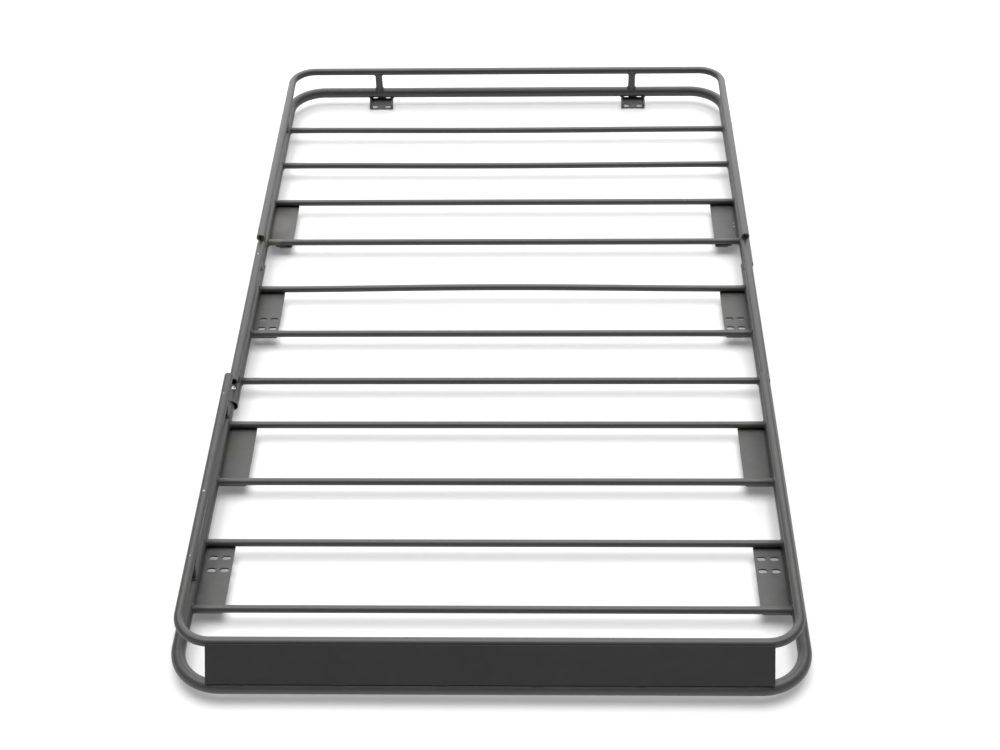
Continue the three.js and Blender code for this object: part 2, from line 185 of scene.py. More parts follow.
def add(name, primitive, scale=(1, 1, 1), **size):
    """One of Blender's primitives as a new piece, its mesh already in the rack's own frame."""
    bpy.ops.object.select_all(action="DESELECT")
    primitive(**size)
    piece = bpy.context.object
    piece.name = piece.data.name = name
    piece.scale = scale
    bpy.ops.object.transform_apply(location=True, rotation=True, scale=True)
    return piece


def alone(piece):
    bpy.ops.object.select_all(action="DESELECT")
    piece.select_set(True)
    bpy.context.view_layer.objects.active = piece


def pick(piece, kind, test):
    """In edit mode, selects the vertices, edges or faces that pass the test, and nothing else."""
    bpy.ops.mesh.select_mode(type=kind)
    bpy.ops.mesh.select_all(action="DESELECT")
    mesh = bmesh.from_edit_mesh(piece.data)
    for part in {"VERT": mesh.verts, "EDGE": mesh.edges, "FACE": mesh.faces}[kind]:
        if test(part):
            part.select_set(True)
    mesh.select_flush_mode()
    bmesh.update_edit_mesh(piece.data)


def modified(piece, kind, **settings):
    """Puts a modifier on a piece and applies it at once."""
    alone(piece)
    modifier = piece.modifiers.new(kind.lower(), kind)
    for key, value in settings.items():
        setattr(modifier, key, value)
    bpy.ops.object.modifier_apply(modifier=modifier.name)


def cut(piece, cutter):
    modified(piece, "BOOLEAN", operation="DIFFERENCE", solver="EXACT", object=cutter)
    bpy.data.objects.remove(cutter)


def smooth(piece, degrees):
    alone(piece)
    bpy.ops.object.shade_smooth_by_angle(angle=math.radians(degrees))


def ease_edges(piece, width):
    """Takes the sharpness off every hard edge."""
    sharp = math.radians(50)
    modified(piece, "BEVEL", width=width, segments=2, limit_method="ANGLE", angle_limit=sharp)


def tube(name, start, turn, radius, wall, legs):
    """A round tube: a ring at its start, turned to face along it, drawn out leg by leg and then
    given its wall. A leg is a vector, or the middle of a level bend and its angle."""
    size = {"vertices": RING_SIDES, "radius": radius, "location": start, "rotation": turn}
    piece = add(name, bpy.ops.mesh.primitive_circle_add, **size)
    bpy.ops.object.mode_set(mode="EDIT")
    bpy.ops.mesh.select_all(action="SELECT")
    for leg in legs:
        if isinstance(leg, Vector):
            bpy.ops.mesh.extrude_region_move(TRANSFORM_OT_translate={"value": leg})
        else:
            middle, angle = leg
            bpy.ops.mesh.spin(steps=BEND_STEPS, angle=angle, center=middle, axis=(0, 0, 1))
    bpy.ops.mesh.select_all(action="SELECT")
    bpy.ops.mesh.remove_doubles(threshold=1e-6)
    bpy.ops.mesh.normals_make_consistent(inside=False)
    bpy.ops.object.mode_set(mode="OBJECT")
    modified(piece, "SOLIDIFY", thickness=wall, offset=-1, use_even_offset=True)
    return piece


FACING_Y = (math.pi / 2, 0, 0)
FACING_X = (0, math.pi / 2, 0)


def u_rail(node, radius, wall, bend, rear, screw=None):
    """A U of tube in the place of a CAD rail; rear says that its closed end is the rear one."""
    low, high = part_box(node)
    way = 1 if rear else -1
    left, right = low.x + radius, high.x - radius
    open_y, end_y = (low.y, high.y - radius) if rear else (high.y, low.y + radius)
    height = (low.z + high.z) / 2
    run = abs(end_y - open_y) - bend
    stops = [run]
    if screw:
        # rings close to the drilled hole keep the long faces flat
        hole = abs(screw - open_y)
        stops = [hole - HOLE_MARGIN, hole + HOLE_MARGIN, run]
    steps = [b - a for a, b in zip([0, *stops], stops)]
    legs = [Vector((0, way * step, 0)) for step in steps]
    legs.append(((left + bend, end_y - way * bend, height), way * math.pi / 2))
    legs.append(Vector((right - left - 2 * bend, 0, 0)))
    legs.append(((right - bend, end_y - way * bend, height), way * math.pi / 2))
    legs += [Vector((0, -way * step, 0)) for step in reversed(steps)]
    piece = tube(node + "_tube", (left, open_y, height), FACING_Y, radius, wall, legs)
    if screw:
        for x in (left, right):
            drill(piece, (x, screw, height + radius))
    ease_edges(piece, RIM_EASE)
    smooth(piece, 20)
    return piece


def drill(piece, place):
    """A screw hole through the top wall of a tube."""
    size = {"vertices": 32, "radius": SCREW_HOLE_RADIUS, "depth": RAIL_RADIUS, "location": place}
    cut(piece, add("drill", bpy.ops.mesh.primitive_cylinder_add, **size))


def settle(piece, node, coat):
    """Gives a finished piece its material, and its place on the rack instead of a CAD node."""
    piece.data.materials.clear()
    piece.data.materials.append(coat)
    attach(piece, "root")
    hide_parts(node)


def middle_of(node):
    low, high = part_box(node)
    return (low + high) / 2


for end, rear in (("front", False), ("rear", True)):
    screw_y = middle_of(f"{end}_joint_screw_1_left").y
    rail = u_rail(f"{end}_lower_rail", RAIL_RADIUS, RAIL_WALL, RAIL_BEND, rear, screw_y)
    settle(rail, f"{end}_lower_rail", tube_coat)

# ---------------------------------------------------------------- lower rails of the middle section
# Two straight lengths of the same 30 mm tube, drilled on top near both ends. They lie a few
# millimetres inboard of the end sections' rails, so their round ends show at the joints.
for side in ("left", "right"):
    node = f"middle_lower_rail_{side}"
    low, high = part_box(node)
    x, height = middle_of(node).x, middle_of(node).z
    holes = sorted(middle_of(f"{end}_joint_screw_2_{side}").y for end in ("front", "rear"))
    stops = [low.y] + [y + step for y in holes for step in (-HOLE_MARGIN, HOLE_MARGIN)] + [high.y]
    legs = [Vector((0, b - a, 0)) for a, b in zip(stops, stops[1:])]
    rail = tube(node + "_tube", (x, low.y, height), FACING_Y, RAIL_RADIUS, RAIL_WALL, legs)
    for y in holes:
        drill(rail, (x, y, height + RAIL_RADIUS))
    ease_edges(rail, RIM_EASE)
    smooth(rail, 20)
    settle(rail, node, tube_coat)

# ---------------------------------------------------------------- crossbars
# Eleven cross tubes of 17.2 mm steel with a 1.5 mm wall, their ends cut to a fishmouth that fits
# the side rails and welded all round. Some were pulled slightly out of line by the welding heat.
CROSS_RADIUS = 0.0086
CROSS_WALL = 0.0015
BEAD_RADIUS = 0.0023
BEAD_OFF_TUBE = 0.0009
BEAD_OFF_RAIL = 0.0006
BEAD_RINGS = 80
BEAD_SIDES = 12
RIPPLE = 4  # rings of a bead from one ripple to the next
RIPPLE_DEEP = 0.00035
COPE_RUN = 0.010  # straight length that a fishmouth may reach past the rail
COPE_GAP = 0.0002
COPE_SIDES = 96
BAR_BOW = {1: (-0.0022, -0.0010), 2: (-0.0024, -0.0010), 5: (0.0036, 0.0034)}  # back and up
BOW_STEPS = 32


def bead(name, tube_radius, rail_radius):
    """The rippled bead round a fishmouth: the tube runs along +X, the rail along Y through the
    origin. A torus round the tube, each of its sections moved along to the rail's surface."""
    path_radius = tube_radius + BEAD_OFF_TUBE
    ring = add(
        name,
        bpy.ops.mesh.primitive_torus_add,
        major_segments=BEAD_RINGS,
        minor_segments=BEAD_SIDES,
        major_radius=path_radius,
        minor_radius=BEAD_RADIUS,
        rotation=FACING_X,
    )
    bpy.ops.object.mode_set(mode="EDIT")
    step = 2 * math.pi / BEAD_RINGS
    turn = lambda v: math.atan2(v.co.z, v.co.y) / step
    pick(ring, "VERT", lambda v: round(turn(v)) % RIPPLE == 0)
    bpy.ops.transform.shrink_fatten(value=-RIPPLE_DEEP)
    for i in range(BEAD_RINGS // 4 + 1):
        height = math.sin(i * step)
        same = lambda v: abs(abs(math.sin(turn(v) * step)) - height) < 1e-3
        pick(ring, "VERT", same)
        along = math.sqrt(max(rail_radius**2 - (path_radius * height) ** 2, 0)) + BEAD_OFF_RAIL
        bpy.ops.transform.translate(value=(along, 0, 0))
    bpy.ops.mesh.select_all(action="SELECT")
    bpy.ops.mesh.normals_make_consistent(inside=False)
    bpy.ops.object.mode_set(mode="OBJECT")
    return ring


def placed(piece, matrix):
    """Puts a piece modelled at the origin in its place, in its mesh."""
    alone(piece)
    piece.matrix_world = matrix
    bpy.ops.object.transform_apply(location=True, rotation=True, scale=True)
    return piece


def copied(piece, name):
    alone(piece)
    bpy.ops.object.duplicate()
    copy = bpy.context.object
    copy.name = copy.data.name = name
    return copy


def welded(piece, beads):
    """Melts weld beads and the piece they are on into one."""
    for ring in beads:
        modified(piece, "BOOLEAN", operation="UNION", solver="EXACT", object=ring)
        bpy.data.objects.remove(ring)


bead_patterns = {}


def strut(name, length, radius, wall, first_rail, last_rail, bow=(0, 0)):
    """A coped tube along +X from the centre line of one rail to that of the next, with a bead
    round both ends. The rails run along Y, and the tube may bow towards Y and Z."""
    ends = [0.0, first_rail + COPE_RUN, length - last_rail - COPE_RUN, length]
    if any(bow):
        inner = length - ends[1] - (length - ends[2])
        ends[2:2] = [ends[1] + inner * i / BOW_STEPS for i in range(1, BOW_STEPS)]
    lift = [(1 - math.cos(2 * math.pi * x / length)) / 2 for x in ends]
    points = [Vector((x, bow[0] * k, bow[1] * k)) for x, k in zip(ends, lift)]
    legs = [b - a for a, b in zip(points, points[1:])]
    piece = tube(name, (0, 0, 0), FACING_X, radius, wall, legs)
    for x, rail in ((0, first_rail), (length, last_rail)):
        mouth = {"vertices": COPE_SIDES, "radius": rail + COPE_GAP, "depth": 0.06}
        mouth.update(location=(x, 0, 0), rotation=FACING_Y)
        cut(piece, add("rail_cutter", bpy.ops.mesh.primitive_cylinder_add, **mouth))
    for rail in (first_rail, last_rail):
        if (radius, rail) not in bead_patterns:
            bead_patterns[radius, rail] = bead("bead_pattern", radius, rail)
    first, last = (copied(bead_patterns[radius, rail], "bead") for rail in (first_rail, last_rail))
    placed(last, Matrix.Translation((length, 0, 0)) @ Matrix.Rotation(math.pi, 4, "Z"))
    welded(piece, [first, last])
    smooth(piece, 40)
    return piece


strut_patterns = {}


def strut_copy(name, length, *size):
    """A copy of the strut of that size, which is modelled the first time it is asked for."""
    key = (round(length, 4), *size)
    if key not in strut_patterns:
        strut_patterns[key] = strut("strut_pattern", length, *size)
    return copied(strut_patterns[key], name)


for number in range(1, 12):
    node = f"crossbar_{number:02d}"
    section = "rear" if number < 5 else "middle" if number < 8 else "front"
    if section == "middle":
        left, right = (middle_of(f"middle_lower_rail_{side}").x for side in ("left", "right"))
    else:
        low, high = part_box(f"{section}_lower_rail")
        left, right = low.x + RAIL_RADIUS, high.x - RAIL_RADIUS
    bow = BAR_BOW.get(number, (0, 0))
    size = (right - left, CROSS_RADIUS, CROSS_WALL, RAIL_RADIUS, RAIL_RADIUS, bow)
    bar = strut_copy(node + "_tube", *size)
    centre = middle_of(node)
    placed(bar, Matrix.Translation((left, centre.y, centre.z)))
    settle(bar, node, tube_coat)

# ---------------------------------------------------------------- upper rails
# The same U's again in 21.3 mm tube with a 2 mm wall, on posts above the lower rails: the front
# one with 74 mm corners, set back over the deflector, the rear one with 66 mm corners. Two
# straight lengths run lower down between them, open at both ends.
UPPER_RADIUS = 0.01065
UPPER_WALL = 0.002
for end, rear, bend in (("front", False, 0.074), ("rear", True, 0.066)):
    rail = u_rail(f"{end}_upper_rail", UPPER_RADIUS, UPPER_WALL, bend, rear)
    settle(rail, f"{end}_upper_rail", tube_coat)
for side in ("left", "right"):
    node = f"middle_upper_rail_{side}"
    low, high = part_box(node)
    centre = middle_of(node)
    start = (centre.x, low.y, centre.z)
    legs = [Vector((0, high.y - low.y, 0))]
    rail = tube(node + "_tube", start, FACING_Y, UPPER_RADIUS, UPPER_WALL, legs)
    ease_edges(rail, RIM_EASE)
    smooth(rail, 20)
    settle(rail, node, tube_coat)

# ---------------------------------------------------------------- posts
# Short tubes coped at both ends and welded between the lower and the upper rail: two of 17.2 mm
# on each side of each section, and two of 21.3 mm between the rear tubes. All have a 2 mm wall.
POST_WALL = 0.002


def rail_line(node, side):
    """x and z of a side rail's centre line."""
    low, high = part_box(node)
    radius = (high.z - low.z) / 2
    return (low.x + radius if side == "left" else high.x - radius), (low.z + high.z) / 2


def post(node, foot, head, rails_along, radius):
    """A post from foot to head, between two rails that run along one direction."""
    up = head - foot
    piece = strut_copy(node + "_tube", up.length, radius, POST_WALL, RAIL_RADIUS, UPPER_RADIUS)
    up.normalize()
    across = up.cross(rails_along).normalized()
    turn = Matrix((up, rails_along, across)).transposed().to_4x4()
    placed(piece, Matrix.Translation(foot) @ turn)
    settle(piece, node, tube_coat)


for side in ("left", "right"):
    for section in ("front", "middle", "rear"):
        suffix = f"_{side}" if section == "middle" else ""
        foot_x, foot_z = rail_line(f"{section}_lower_rail{suffix}", side)
        head_x, head_z = rail_line(f"{section}_upper_rail{suffix}", side)
        stem = "rear_side" if section == "rear" else section
        for number in (1, 2):
            node = f"{stem}_post_{number}_{side}"
            y = middle_of(node).y
            foot, head = Vector((foot_x, y, foot_z)), Vector((head_x, y, head_z))
            post(node, foot, head, Vector((0, 1, 0)), CROSS_RADIUS)
    centre = middle_of(f"rear_post_{side}")
    lower, upper = (rail_line(f"rear_{level}_rail", side)[1] for level in ("lower", "upper"))
    foot, head = Vector((centre.x, centre.y, lower)), Vector((centre.x, centre.y, upper))
    post(f"rear_post_{side}", foot, head, Vector((-1, 0, 0)), UPPER_RADIUS)
for pattern in (*strut_patterns.values(), *bead_patterns.values()):
    bpy.data.objects.remove(pattern)

# ---------------------------------------------------------------- wind deflector
# A flat strip of 3 mm sheet that leans back between the two front tubes. Its coat is the rails'
# powder coat, more matte and made much darker: painted shade for the sheet, which faces forward
# into little light. It is stitch welded to them from behind, where the sheet's back and each tube
# make a groove.
SHEET = 0.003
DEFLECTOR_LOW_GAP = 0.009
DEFLECTOR_TOP_GAP = 0.003
SHEET_CORNER = 0.002
CUT_EASE = 0.0005  # bevel on the cut edges of sheet and plate
TOUCH_GAP = 0.0003
DEFLECTOR_STITCHES = (-0.52, -0.31, -0.10, 0.10, 0.31, 0.52)
STITCH_RADIUS = 0.0021
STITCH_LONG = 0.03
STITCH_STEP = 0.0024  # from one ripple to the next
STITCH_TIP = 0.45  # radius at both ends, as a share of the radius in the middle
STITCH_DIP = 0.86  # the same between two ripples
STITCH_SUNK = 0.0008
LOW_STITCH_UP = 0.0068  # above the line where sheet and tube touch
TOP_STITCH_DOWN = 0.0058
# the rails' coat, more matte and much darker: painted shade on the forward-facing sheet
shaded_deflector_coat = powder_coat(
    "charcoal_painted_shade_coat", (0.0220, 0.0220, 0.0220, 1), (0.0253, 0.0253, 0.0253, 1), 0.56, 0.45
)


def stitch(name, length):
    """A short straight run of weld along X, centred on the origin: a ring drawn out in small
    steps that swell and narrow with each ripple."""
    steps = 2 * round(length / STITCH_STEP)
    size = {"vertices": BEAD_SIDES, "radius": STITCH_RADIUS * STITCH_TIP, "fill_type": "NGON"}
    start = (-length / 2, 0, 0)
    piece = add(name, bpy.ops.mesh.primitive_circle_add, location=start, rotation=FACING_X, **size)
    bpy.ops.object.mode_set(mode="EDIT")
    bpy.ops.mesh.select_all(action="SELECT")
    before = STITCH_TIP
    for i in range(1, steps + 1):
        t = i / steps
        after = (1 - (1 - STITCH_TIP) * abs(2 * t - 1) ** 6) * (1 if i % 2 else STITCH_DIP)
        x = (t - 0.5) * length
        bpy.ops.mesh.extrude_region_move(TRANSFORM_OT_translate={"value": (length / steps, 0, 0)})
        ratio = after / before
        bpy.ops.transform.resize(value=(1, ratio, ratio), center_override=(x, 0, 0))
        before = after
    bpy.ops.mesh.select_all(action="SELECT")
    bpy.ops.mesh.normals_make_consistent(inside=False)
    bpy.ops.object.mode_set(mode="OBJECT")
    return piece


front_low, front_high = (Vector(corner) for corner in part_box("front_lower_rail"))
lower_centre = Vector((0, front_low.y + RAIL_RADIUS, (front_low.z + front_high.z) / 2))
upper_low, upper_high = (Vector(corner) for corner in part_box("front_upper_rail"))
upper_centre = Vector((0, upper_low.y + UPPER_RADIUS, (upper_low.z + upper_high.z) / 2))
slope = upper_centre - lower_centre
lean = (RAIL_RADIUS - UPPER_RADIUS) / slope.length
span = slope.length * math.sqrt(1 - lean**2)
slope.normalize()
ahead = Vector((0, -slope.z, slope.y))
outward = ahead * math.sqrt(1 - lean**2) + slope * lean
up_sheet = Vector((0, outward.z, -outward.y))
sheet_low, sheet_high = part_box("wind_deflector")
sheet_width = sheet_high.x - sheet_low.x
sheet_rise = span - DEFLECTOR_LOW_GAP - DEFLECTOR_TOP_GAP
sheet_turn = Matrix((Vector((1, 0, 0)), up_sheet, outward)).transposed().to_4x4()
middle_x = (sheet_low.x + sheet_high.x) / 2

deflector = add(
    "wind_deflector_sheet",
    bpy.ops.mesh.primitive_plane_add,
    size=1,
    scale=(sheet_width, sheet_rise, 1),
    location=(0, DEFLECTOR_LOW_GAP + sheet_rise / 2, 0),
)
bpy.ops.object.mode_set(mode="EDIT")
bpy.ops.mesh.select_all(action="SELECT")
bpy.ops.mesh.bevel(offset=SHEET_CORNER, affect="VERTICES", segments=4)
bpy.ops.mesh.select_all(action="SELECT")
bpy.ops.mesh.extrude_region_move(TRANSFORM_OT_translate={"value": (0, 0, SHEET)})
bpy.ops.mesh.select_all(action="SELECT")
bpy.ops.mesh.normals_make_consistent(inside=False)
bpy.ops.object.mode_set(mode="OBJECT")
ease_edges(deflector, CUT_EASE)
touch = lower_centre + outward * (RAIL_RADIUS + TOUCH_GAP)
placed(deflector, Matrix.Translation((middle_x, touch.y, touch.z)) @ sheet_turn)
stitch_pattern = stitch("stitch_pattern", STITCH_LONG)
grooves = [
    lower_centre + outward * (RAIL_RADIUS - STITCH_SUNK) + up_sheet * LOW_STITCH_UP,
    upper_centre + outward * (UPPER_RADIUS - STITCH_SUNK) - up_sheet * TOP_STITCH_DOWN,
]
stitches = []
for groove in grooves:
    for x in DEFLECTOR_STITCHES:
        run = copied(stitch_pattern, "deflector_stitch")
        stitches.append(placed(run, Matrix.Translation((middle_x + x, groove.y, groove.z))))
welded(deflector, stitches)
smooth(deflector, 20)
settle(deflector, "wind_deflector", shaded_deflector_coat)

# ---------------------------------------------------------------- mounting plates
# Flat bar 66 mm wide and 4.8 mm thick under pairs of crossbars, its outer edge against the side
# rails. The plates of two pairs are punched with four slots for roof feet. Each is welded to
# its crossbars, and to the rail from below. The same coat, rubbed a little.
PLATE_THICK = 0.0048
PLATE_CORNER = 0.004
LONG_LAP_CORNER = 0.034
SLOT_LENGTH = 0.0205
SLOT_WIDTH = 0.012
SLOT_FROM_EDGE = 0.030
SLOT_ACROSS = 0.029
SLOT_ALONG = 0.036
SLOT_FROM_FRONT_BAR = 0.032  # on the pair of plates amidships
SLOT_FROM_REAR_BAR = 0.037  # on the front pair
PUNCHED = (2, 4)
CUTTER_DEEP = 0.02
FILLET_INBOARD = 0.030  # from the inner edge
FILLET_BEFORE_BAR = 0.0066
RAIL_FILLET = (0.0016, 0.0036)  # past the outer edge and below the top face
RAIL_FILLET_FROM_BAR = 0.055
HANDLED = [((-0.636, 0.470, 0.030), 0.058, (0.120, 0.102, 0.093, 1))]
SPATTER = [((0.6420, 0.4700, 0.0295), 0.0018), ((0.6422, 0.4540, 0.0295), 0.0022)]
plate_coat = powder_coat(
    "plate_coat", (0.046, 0.046, 0.045, 1), (0.052, 0.052, 0.051, 1), 0.44, 0.5, SPATTER, HANDLED
)


def slot_cutter(x, y, z, length, width, depth):
    """A round cutter pulled out to the length of a slot."""
    size = {"vertices": 48, "radius": width / 2, "depth": depth, "location": (x, y, z)}
    piece = add("slot_cutter", bpy.ops.mesh.primitive_cylinder_add, **size)
    bpy.ops.object.mode_set(mode="EDIT")
    for way in (-1, 1):
        pick(piece, "VERT", lambda v: way * (v.co.x - x) > 1e-5)
        bpy.ops.transform.translate(value=(way * (length - width) / 2, 0, 0))
    bpy.ops.object.mode_set(mode="OBJECT")
    return piece


def closed_plate(piece, thick):
    """Gives an outline its thickness, upwards."""
    bpy.ops.mesh.select_all(action="SELECT")
    bpy.ops.mesh.extrude_region_move(TRANSFORM_OT_translate={"value": (0, 0, thick)})
    bpy.ops.mesh.select_all(action="SELECT")
    bpy.ops.mesh.normals_make_consistent(inside=False)
    bpy.ops.object.mode_set(mode="OBJECT")


for number, bars in {1: (3, 4), 2: (5, 6), 3: (8, 9), 4: (10, 11)}.items():
    rear_bar, front_bar = (middle_of(f"crossbar_{bar:02d}").y for bar in bars)
    for side in ("left", "right"):
        node = f"mount_plate_{number}_{side}"
        way = -1 if side == "left" else 1
        low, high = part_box(node)
        centre = (low + high) / 2
        outer_edge, inner_edge = (low.x, high.x) if side == "left" else (high.x, low.x)
        long_lap = number == 1
        plate = add(
            node + "_bar",
            bpy.ops.mesh.primitive_plane_add,
            size=1,
            scale=(high.x - low.x, high.y - low.y, 1),
            location=(centre.x, centre.y, low.z),
        )
        bpy.ops.object.mode_set(mode="EDIT")
        lapped = lambda v: way * (v.co.x - centre.x) > 0 and v.co.y < centre.y
        pick(plate, "VERT", lambda v: not lapped(v))
        bpy.ops.mesh.bevel(offset=PLATE_CORNER, affect="VERTICES", segments=1)
        pick(plate, "VERT", lambda v: abs(v.co.x - outer_edge) < 1e-5 and v.co.y < low.y + 1e-5)
        corner = LONG_LAP_CORNER if long_lap else PLATE_CORNER
        bpy.ops.mesh.bevel(offset=corner, affect="VERTICES", segments=1)
        closed_plate(plate, PLATE_THICK)
        if number in PUNCHED:
            first = front_bar + SLOT_FROM_FRONT_BAR
            if number == 4:
                first = rear_bar - SLOT_FROM_REAR_BAR - SLOT_ALONG
            slots_x = inner_edge + way * SLOT_FROM_EDGE
            for row in (first, first + SLOT_ALONG):
                for across in (-SLOT_ACROSS / 2, SLOT_ACROSS / 2):
                    size = (SLOT_LENGTH, SLOT_WIDTH, CUTTER_DEEP)
                    cut(plate, slot_cutter(slots_x + across, row, centre.z, *size))
        ease_edges(plate, CUT_EASE)
        # fillets under or in front of the two crossbars, and two in the groove under the rail
        fillet_x = inner_edge + way * FILLET_INBOARD
        sunk = high.z - STITCH_SUNK
        front_y, front_z = low.y, sunk
        if long_lap:
            front_y, front_z = front_bar - FILLET_BEFORE_BAR, high.z + STITCH_SUNK
        runs = [((fillet_x, front_y, front_z), 0), ((fillet_x, high.y, sunk), 0)]
        past, below = RAIL_FILLET
        for y in (rear_bar - RAIL_FILLET_FROM_BAR, front_bar + RAIL_FILLET_FROM_BAR):
            runs.append(((outer_edge + way * past, y, high.z - below), math.pi / 2))
        beads = []
        for spot, turn in runs:
            run = copied(stitch_pattern, "plate_weld")
            matrix = Matrix.Translation(spot) @ Matrix.Rotation(turn, 4, "Z")
            beads.append(placed(run, matrix))
        welded(plate, beads)
        smooth(plate, 20)
        settle(plate, node, plate_coat)

# ---------------------------------------------------------------- rear foot brackets
# Slotted brackets folded from 4.8 mm plate: a floor between two upturned flanges with rounded
# front corners, tilted forward and down, and welded through the flanges under the rear tube.
FOOT_WIDTH = 0.072
FOOT_SHEET = 0.0048
FOOT_TILT = math.radians(24.8)
FOOT_BACK = 0.006
FOOT_FRONT = 0.048
FOOT_FLANGE = 0.012
FOOT_FOLD = 0.0055
FOOT_ROOT = 0.0015  # radius inside the fold
FOOT_CORNER = 0.006
FOOT_SLOTS = (0.005, 0.0405)
FOOT_ACROSS = 0.039
FOOT_SLOT = (0.017, 0.010)
FOOT_BEAD_FROM = math.radians(6)
FOOT_BEAD_STEP = math.radians(4)
FOOT_BEAD_STEPS = 16
FOOT_BEAD_RADIUS = 0.0019
FOOT_RIPPLE = 0.0003

foot_pattern = add(
    "foot_pattern",
    bpy.ops.mesh.primitive_plane_add,
    size=1,
    scale=(FOOT_WIDTH, FOOT_FRONT + FOOT_BACK, 1),
    location=(0, (FOOT_FRONT - FOOT_BACK) / 2, -FOOT_SHEET),
)
bpy.ops.object.mode_set(mode="EDIT")
closed_plate(foot_pattern, FOOT_SHEET)
bpy.ops.object.mode_set(mode="EDIT")
inside = FOOT_WIDTH / 2 - FOOT_SHEET
for x in (-inside, inside):
    bpy.ops.mesh.select_all(action="SELECT")
    bpy.ops.mesh.bisect(plane_co=(x, 0, 0), plane_no=(1, 0, 0))
top_strip = lambda f: f.normal.z > 0.9 and abs(f.calc_center_median().x) > inside
pick(foot_pattern, "FACE", top_strip)
bpy.ops.mesh.extrude_region_move(TRANSFORM_OT_translate={"value": (0, 0, FOOT_FLANGE)})


def along(axis, *near):
    """A test for the edges that run along one axis, through a place on the other two."""

    def passes(edge):
        a, b = (v.co for v in edge.verts)
        run = b - a
        if abs(run[axis]) < run.length * 0.99:
            return False
        return all(abs(abs(a[i]) - value) < 1e-4 for i, value in near)

    return passes


pick(foot_pattern, "EDGE", along(1, (0, FOOT_WIDTH / 2), (2, FOOT_SHEET)))
bpy.ops.mesh.bevel(offset=FOOT_FOLD, segments=7)
pick(foot_pattern, "EDGE", along(1, (0, inside), (2, 0)))
bpy.ops.mesh.bevel(offset=FOOT_ROOT, segments=3)
pick(foot_pattern, "EDGE", along(0, (1, FOOT_FRONT), (2, FOOT_FLANGE)))
bpy.ops.mesh.bevel(offset=FOOT_CORNER, segments=8)
bpy.ops.object.mode_set(mode="OBJECT")
for y in FOOT_SLOTS:
    for x in (-FOOT_ACROSS / 2, FOOT_ACROSS / 2):
        cut(foot_pattern, slot_cutter(x, y, -FOOT_SHEET / 2, *FOOT_SLOT, CUTTER_DEEP))
tube_middle = RAIL_RADIUS + TOUCH_GAP
rail_cutter = add(
    "rail_cutter",
    bpy.ops.mesh.primitive_cylinder_add,
    vertices=COPE_SIDES,
    radius=RAIL_RADIUS + COPE_GAP,
    depth=0.1,
    location=(0, 0, tube_middle),
    rotation=FACING_X,
)
cut(foot_pattern, rail_cutter)
ease_edges(foot_pattern, CUT_EASE)
# a rippled bead along the arch of each flange, on its outer face
arch = RAIL_RADIUS + BEAD_OFF_RAIL
beads = []
for x in (-FOOT_WIDTH / 2, FOOT_WIDTH / 2):
    begin = (x, arch * math.sin(FOOT_BEAD_FROM), tube_middle - arch * math.cos(FOOT_BEAD_FROM))
    turn = (math.pi / 2 + FOOT_BEAD_FROM, 0, 0)
    size = {"vertices": BEAD_SIDES, "radius": FOOT_BEAD_RADIUS, "fill_type": "NGON"}
    size.update(location=begin, rotation=turn)
    run = add("flange_bead", bpy.ops.mesh.primitive_circle_add, **size)
    bpy.ops.object.mode_set(mode="EDIT")
    bpy.ops.mesh.select_all(action="SELECT")
    sweep = {"angle": FOOT_BEAD_STEPS * FOOT_BEAD_STEP, "axis": (-1, 0, 0)}
    bpy.ops.mesh.spin(steps=FOOT_BEAD_STEPS, center=(x, 0, tube_middle), **sweep)
    turned = lambda v: math.atan2(v.co.y, tube_middle - v.co.z) - FOOT_BEAD_FROM
    pick(run, "VERT", lambda v: round(turned(v) / FOOT_BEAD_STEP) % 2)
    bpy.ops.transform.shrink_fatten(value=-FOOT_RIPPLE)
    bpy.ops.mesh.select_all(action="SELECT")
    bpy.ops.mesh.normals_make_consistent(inside=False)
    bpy.ops.object.mode_set(mode="OBJECT")
    beads.append(run)
welded(foot_pattern, beads)
foot_turn = Matrix(
    (
        Vector((-1, 0, 0)),
        Vector((0, -math.cos(FOOT_TILT), -math.sin(FOOT_TILT))),
        Vector((0, -math.sin(FOOT_TILT), math.cos(FOOT_TILT))),
    )
).transposed()
rear_low, rear_high = (Vector(corner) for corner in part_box("rear_lower_rail"))
for side in ("left", "right"):
    node = f"rear_foot_bracket_{side}"
    hang = Vector((middle_of(node).x, rear_high.y - RAIL_RADIUS, (rear_low.z + rear_high.z) / 2))
    hang += foot_turn @ Vector((0, 0, -RAIL_RADIUS - TOUCH_GAP))
    bracket = copied(foot_pattern, node + "_plate")
    placed(bracket, Matrix.Translation(hang) @ foot_turn.to_4x4())
    smooth(bracket, 20)
    settle(bracket, node, plate_coat)
bpy.data.objects.remove(foot_pattern)
bpy.data.objects.remove(stitch_pattern)

# ---------------------------------------------------------------- joint sleeves and screws
# Plain 16 mm steel rods slide into the lower rails across each joint, drilled for two M6 button
# head screws with hexagon sockets. The rods are turned steel, the screws zinc plated.
SLEEVE_RADIUS = 0.008
SCREW_RADIUS = 0.003
HEAD_RADIUS = 0.0055
HEAD_HIGH = 0.0032
HEAD_ROUND = 0.0023
KEY_RADIUS = 0.00231  # to the corners of the hexagon
KEY_DEEP = 0.004
SHANK_LONG = 0.0204
SHANK_TOP = 0.0006  # inside the head
THREAD_STEP = 0.0005
THREAD_ROOT = 0.88  # of the full radius
SLEEVE_EASE = 0.0006


